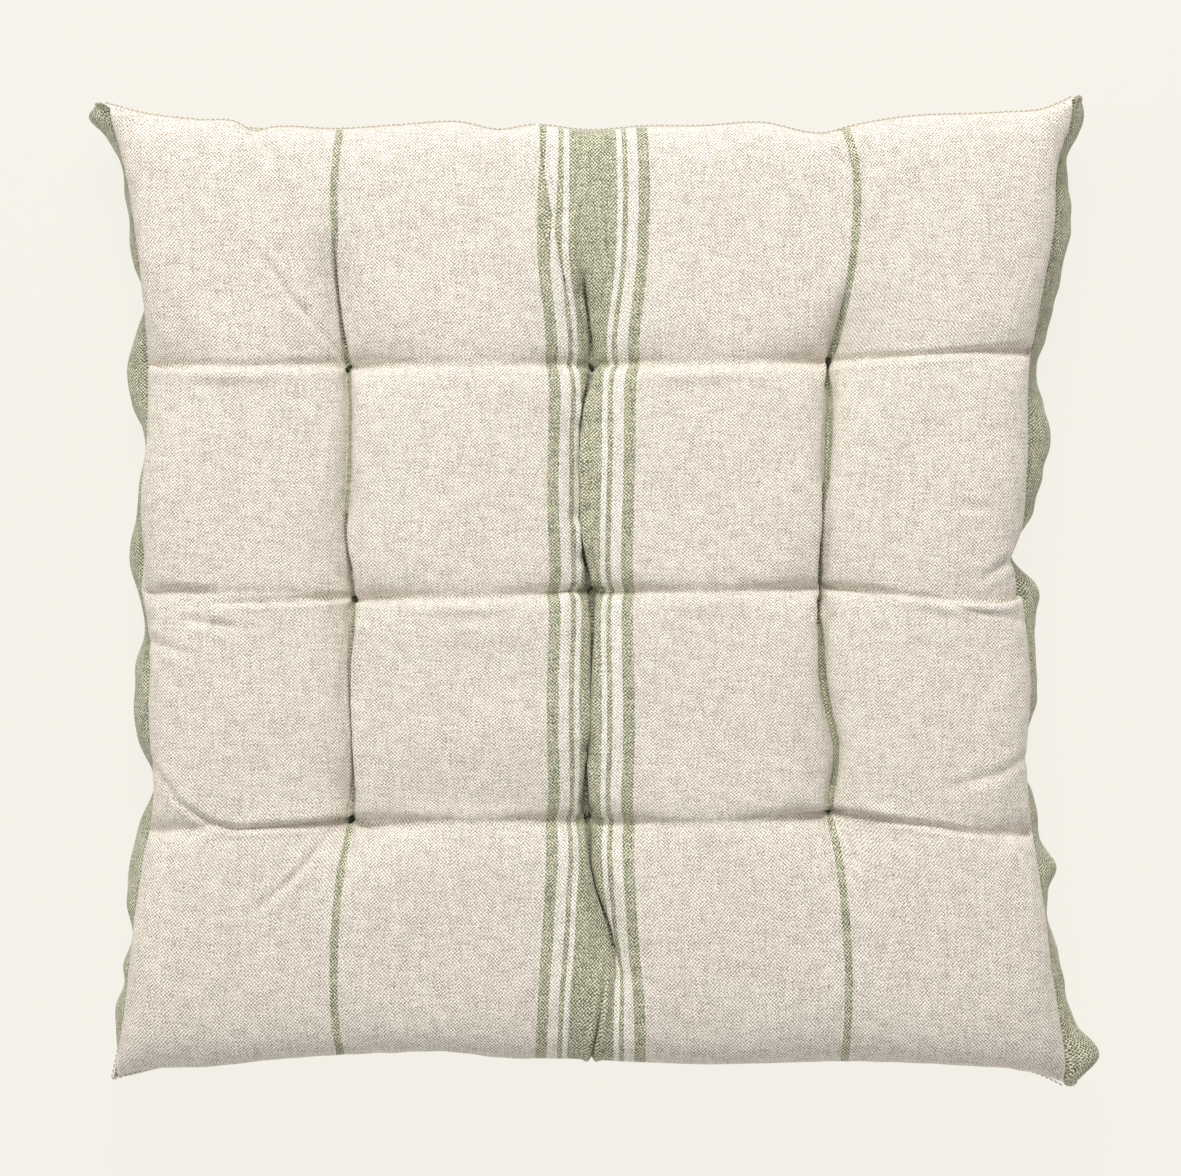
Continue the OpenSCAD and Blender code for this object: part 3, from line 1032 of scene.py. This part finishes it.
def tie(name, x, y, angle):
    """Two legs of twine through the pad, a short slanted stitch on top and a knot underneath."""
    high, low = TOP_TIE_Z + 1.0, LOW_TIE_Z - 0.9
    dx, dy = 1.2 * math.cos(angle), 1.2 * math.sin(angle)
    half_stitch = [(0.6, 0.6), (1, 0), (1, -1.2)]
    cross = [(-dx * a, -dy * a, z) for a, z in reversed(half_stitch)]
    cross += [(0, 0, 0.75)]
    cross += [(dx * a, dy * a, z) for a, z in half_stitch]
    parts = [tube([(x + a, y + b, high + c) for a, b, c in cross], 0.55)]
    under = [(x + a, y + b, low - c) for a, b, c in cross]
    parts.append(tube(under, 0.55))
    for s in (-1, 1):
        parts.append(tube([(x + s * dx, y + s * dy, z) for z in np.linspace(low, high, 12)], 0.5))
    turns = np.linspace(0, 6 * math.pi, 60)
    knot_z = low - 1.6 + 0.7 * np.cos(turns / 3)
    knot = np.stack([x + 1.3 * np.cos(turns), y + 1.3 * np.sin(turns), knot_z], 1)
    parts.append(tube(knot, 0.5))
    verts, faces = joined(parts)
    obj = add_mesh(f"twine_{name}", verts, faces, material=twine)
    dress(obj, f"tie_{name}")


for (name, (_, _, tx, ty)), angle in zip(TIES.items(), TIE_ANGLES):
    tie(name, tx, ty, math.radians(angle))

# ---- Wadding ----


def layer(name, low, high, node):
    """A closed layer of wadding between two grids of points."""
    nu, nv = low.shape[:2]
    verts = np.vstack([low.reshape(-1, 3), high.reshape(-1, 3)])
    faces = grid_faces(nu, nv, True).tolist() + (grid_faces(nu, nv) + nu * nv).tolist()
    rim = [(i, 0) for i in range(nu)] + [(nu - 1, j) for j in range(1, nv)]
    rim += [(i, nv - 1) for i in range(nu - 2, -1, -1)] + [(0, j) for j in range(nv - 2, 0, -1)]
    rim = [i * nv + j for i, j in rim]
    for a, b in zip(rim, rim[1:] + rim[:1]):
        faces.append((a, b, b + nu * nv, a + nu * nv))
    obj = add_mesh(name, verts, faces, material=fibre)
    dress(obj, node)


def under(grid, sign):
    """A smooth sheet of wadding that stays inside a panel, away from the walls of its folds."""
    inner = grid[5:-5:2, 5:-5:2].copy()
    z = grid[..., 2] * sign
    n, m = inner.shape[:2]
    lows = []
    for a in range(2, 9):
        for b in range(2, 9):
            lows.append(z[a : a + 2 * n : 2, b : b + 2 * m : 2][:n, :m])
    inner[..., 2] = (np.min(lows, axis=0) - 1.5) * sign
    for axis in (0, 1):
        inner[..., axis] -= np.sign(inner[..., axis]) * 9 * ramp(np.abs(inner[..., axis]), 125, 185)
    return inner


upper, lower = under(top, 1), under(bottom, -1)
fuzz = 0.4 * ripple(upper[..., 0], upper[..., 1], 14, 21)
upper[..., 2] -= np.abs(fuzz)
lower[..., 2] += np.abs(fuzz)
core_high, core_low = upper.copy(), lower.copy()
core_high[..., 2] = 30 + fuzz
core_low[..., 2] = 22 + fuzz
upper[..., 2] = np.maximum(upper[..., 2], core_high[..., 2] + 1)
lower[..., 2] = np.minimum(lower[..., 2], core_low[..., 2] - 1)
layer("upper_fibre", core_high + [0, 0, 0.4], upper, "upper_wadding")
layer("core_fibre", core_low, core_high, "core_wadding")
layer("lower_fibre", lower, core_low - [0, 0, 0.4], "lower_wadding")

# ---- Floor, light and camera ----


def flat_floor():
    """A plain pale floor, a hair below the flats the pad rests on."""
    size, gap = 6000, 0.3
    verts = [(x * size, y * size, -gap) for x, y in ((-1, -1), (1, -1), (1, 1), (-1, 1))]
    n = Nodes("pale_floor")
    glow = n.add("ShaderNodeEmission")
    glow.inputs["Color"].default_value = (0.923, 0.896, 0.823, 1)
    glow.inputs["Strength"].default_value = 0.937
    n.shader.inputs["Base Color"].default_value = (0.05, 0.049, 0.046, 1)
    n.shader.inputs["Roughness"].default_value = 1.0
    n.shader.inputs["Specular IOR Level"].default_value = 0.0
    both = n.add("ShaderNodeAddShader")
    n.put(both.inputs[0], glow.outputs[0])
    n.put(both.inputs[1], n.shader.outputs[0])
    n.put(n.tree.nodes["Material Output"].inputs["Surface"], both.outputs[0])
    add_mesh("floor", verts, [(0, 1, 2, 3)], material=n.material, body=None)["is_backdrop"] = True


def softbox(name, place, size, power, colour):
    """A large soft light that points at the middle of the pad."""
    light = bpy.data.lights.new(name, "AREA")
    light.shape = "DISK"
    light.size = size
    light.energy = power
    light.color = colour
    obj = bpy.data.objects.new(name, light)
    obj.location = place
    aim = -obj.location
    obj.rotation_euler = aim.to_track_quat("-Z", "Y").to_euler()
    bpy.context.collection.objects.link(obj)


flat_floor()
softbox("rear_softbox", (-0.05, 1.35, 1.2), 0.8, 25, (1, 0.985, 0.965))
softbox("left_softbox", (-3.0, 0.3, 2.4), 1.2, 19, (1, 0.98, 0.95))

world = bpy.data.worlds.new("studio")
world.use_nodes = True
world.node_tree.nodes["Background"].inputs["Color"].default_value = (1, 0.985, 0.965, 1)
world.node_tree.nodes["Background"].inputs["Strength"].default_value = 0.5
bpy.context.scene.world = world
bpy.context.scene.view_settings.view_transform = "Standard"

camera = bpy.data.cameras.new("camera")
camera.sensor_width = 36
# Metres. The frame is as wide as this at the height FRAME_Z, near the top of the pad.
CAMERA_HEIGHT = 2.4
FRAME_WIDTH = 0.4842
FRAME_Z = 0.045
camera.lens = camera.sensor_width * (CAMERA_HEIGHT - FRAME_Z) / FRAME_WIDTH
eye = bpy.data.objects.new("camera", camera)
eye.location = (0.0004, 0.0016, CAMERA_HEIGHT)
bpy.context.collection.objects.link(eye)
bpy.context.scene.camera = eye

boxes = {"cad": cad_box, "visual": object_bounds()}
{name: [list(map(float, corner)) for corner in box] for name, box in boxes.items()}
